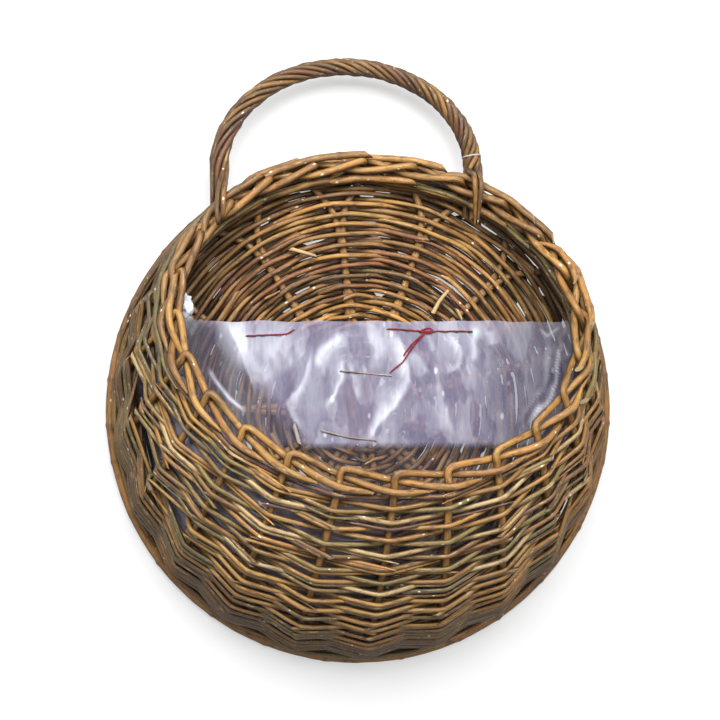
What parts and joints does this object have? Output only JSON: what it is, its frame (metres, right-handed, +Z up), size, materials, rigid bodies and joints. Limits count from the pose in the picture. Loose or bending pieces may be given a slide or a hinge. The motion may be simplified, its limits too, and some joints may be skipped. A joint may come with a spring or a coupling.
{
  "type": "wall basket",
  "caption": "Round woven willow wall basket with a flat back, a scooped open front, a twisted bow handle and a clear film liner.",
  "frame": {"origin": "on the wall plane, at the lowest point of the rim hoop's flat rear face; the rim's centre is 147 mm above it", "axes": "+Z up, +Y into the wall, so the basket stands out towards -Y; +X to the right as seen from the front"},
  "size_m": [0.3, 0.1103, 0.3586],
  "materials": {
    "rim_willow": "orange-brown willow with its bark on, smooth, satin",
    "stake_willow": "golden-brown willow with its bark on, satin, small knots",
    "back_willow": "warm brown willow with its bark on, satin",
    "front_willow": "mixed olive, golden and dark brown willow bark, rough in places",
    "handle_willow": "golden and dark brown willow strands, satin",
    "liner_film": "thin clear polythene film, glossy, creased",
    "red_thread": "dark red sewing thread, matt"
  },
  "bodies": {
    "root": {"rim_hoop": "rim_willow", "stake_rod_01": "stake_willow", "stake_rod_02": "stake_willow", "stake_rod_03": "stake_willow", "stake_rod_04": "stake_willow", "stake_rod_05": "stake_willow", "stake_rod_06": "stake_willow", "stake_rod_07": "stake_willow", "stake_rod_08": "stake_willow", "stake_rod_09": "stake_willow", "stake_rod_10": "stake_willow", "stake_rod_11": "stake_willow", "stake_rod_12": "stake_willow", "back_weaver_1": "back_willow", "back_weaver_2": "back_willow", "front_weaver_01": "front_willow", "front_weaver_02": "front_willow", "front_weaver_03": "front_willow", "front_weaver_04": "front_willow", "front_weaver_05": "front_willow", "front_weaver_06": "front_willow", "front_weaver_07": "front_willow", "front_weaver_08": "front_willow", "front_weaver_09": "front_willow", "front_weaver_10": "front_willow", "front_weaver_11": "front_willow", "front_weaver_12": "front_willow", "front_weaver_13": "front_willow", "front_weaver_14": "front_willow", "handle_core": "handle_willow", "handle_strand_1": "handle_willow", "handle_strand_2": "handle_willow", "handle_strand_3": "handle_willow", "handle_strand_4": "handle_willow", "film_liner": "liner_film", "thread_left": "red_thread", "thread_right": "red_thread", "thread_tail": "red_thread"}
  },
  "joints": []
}
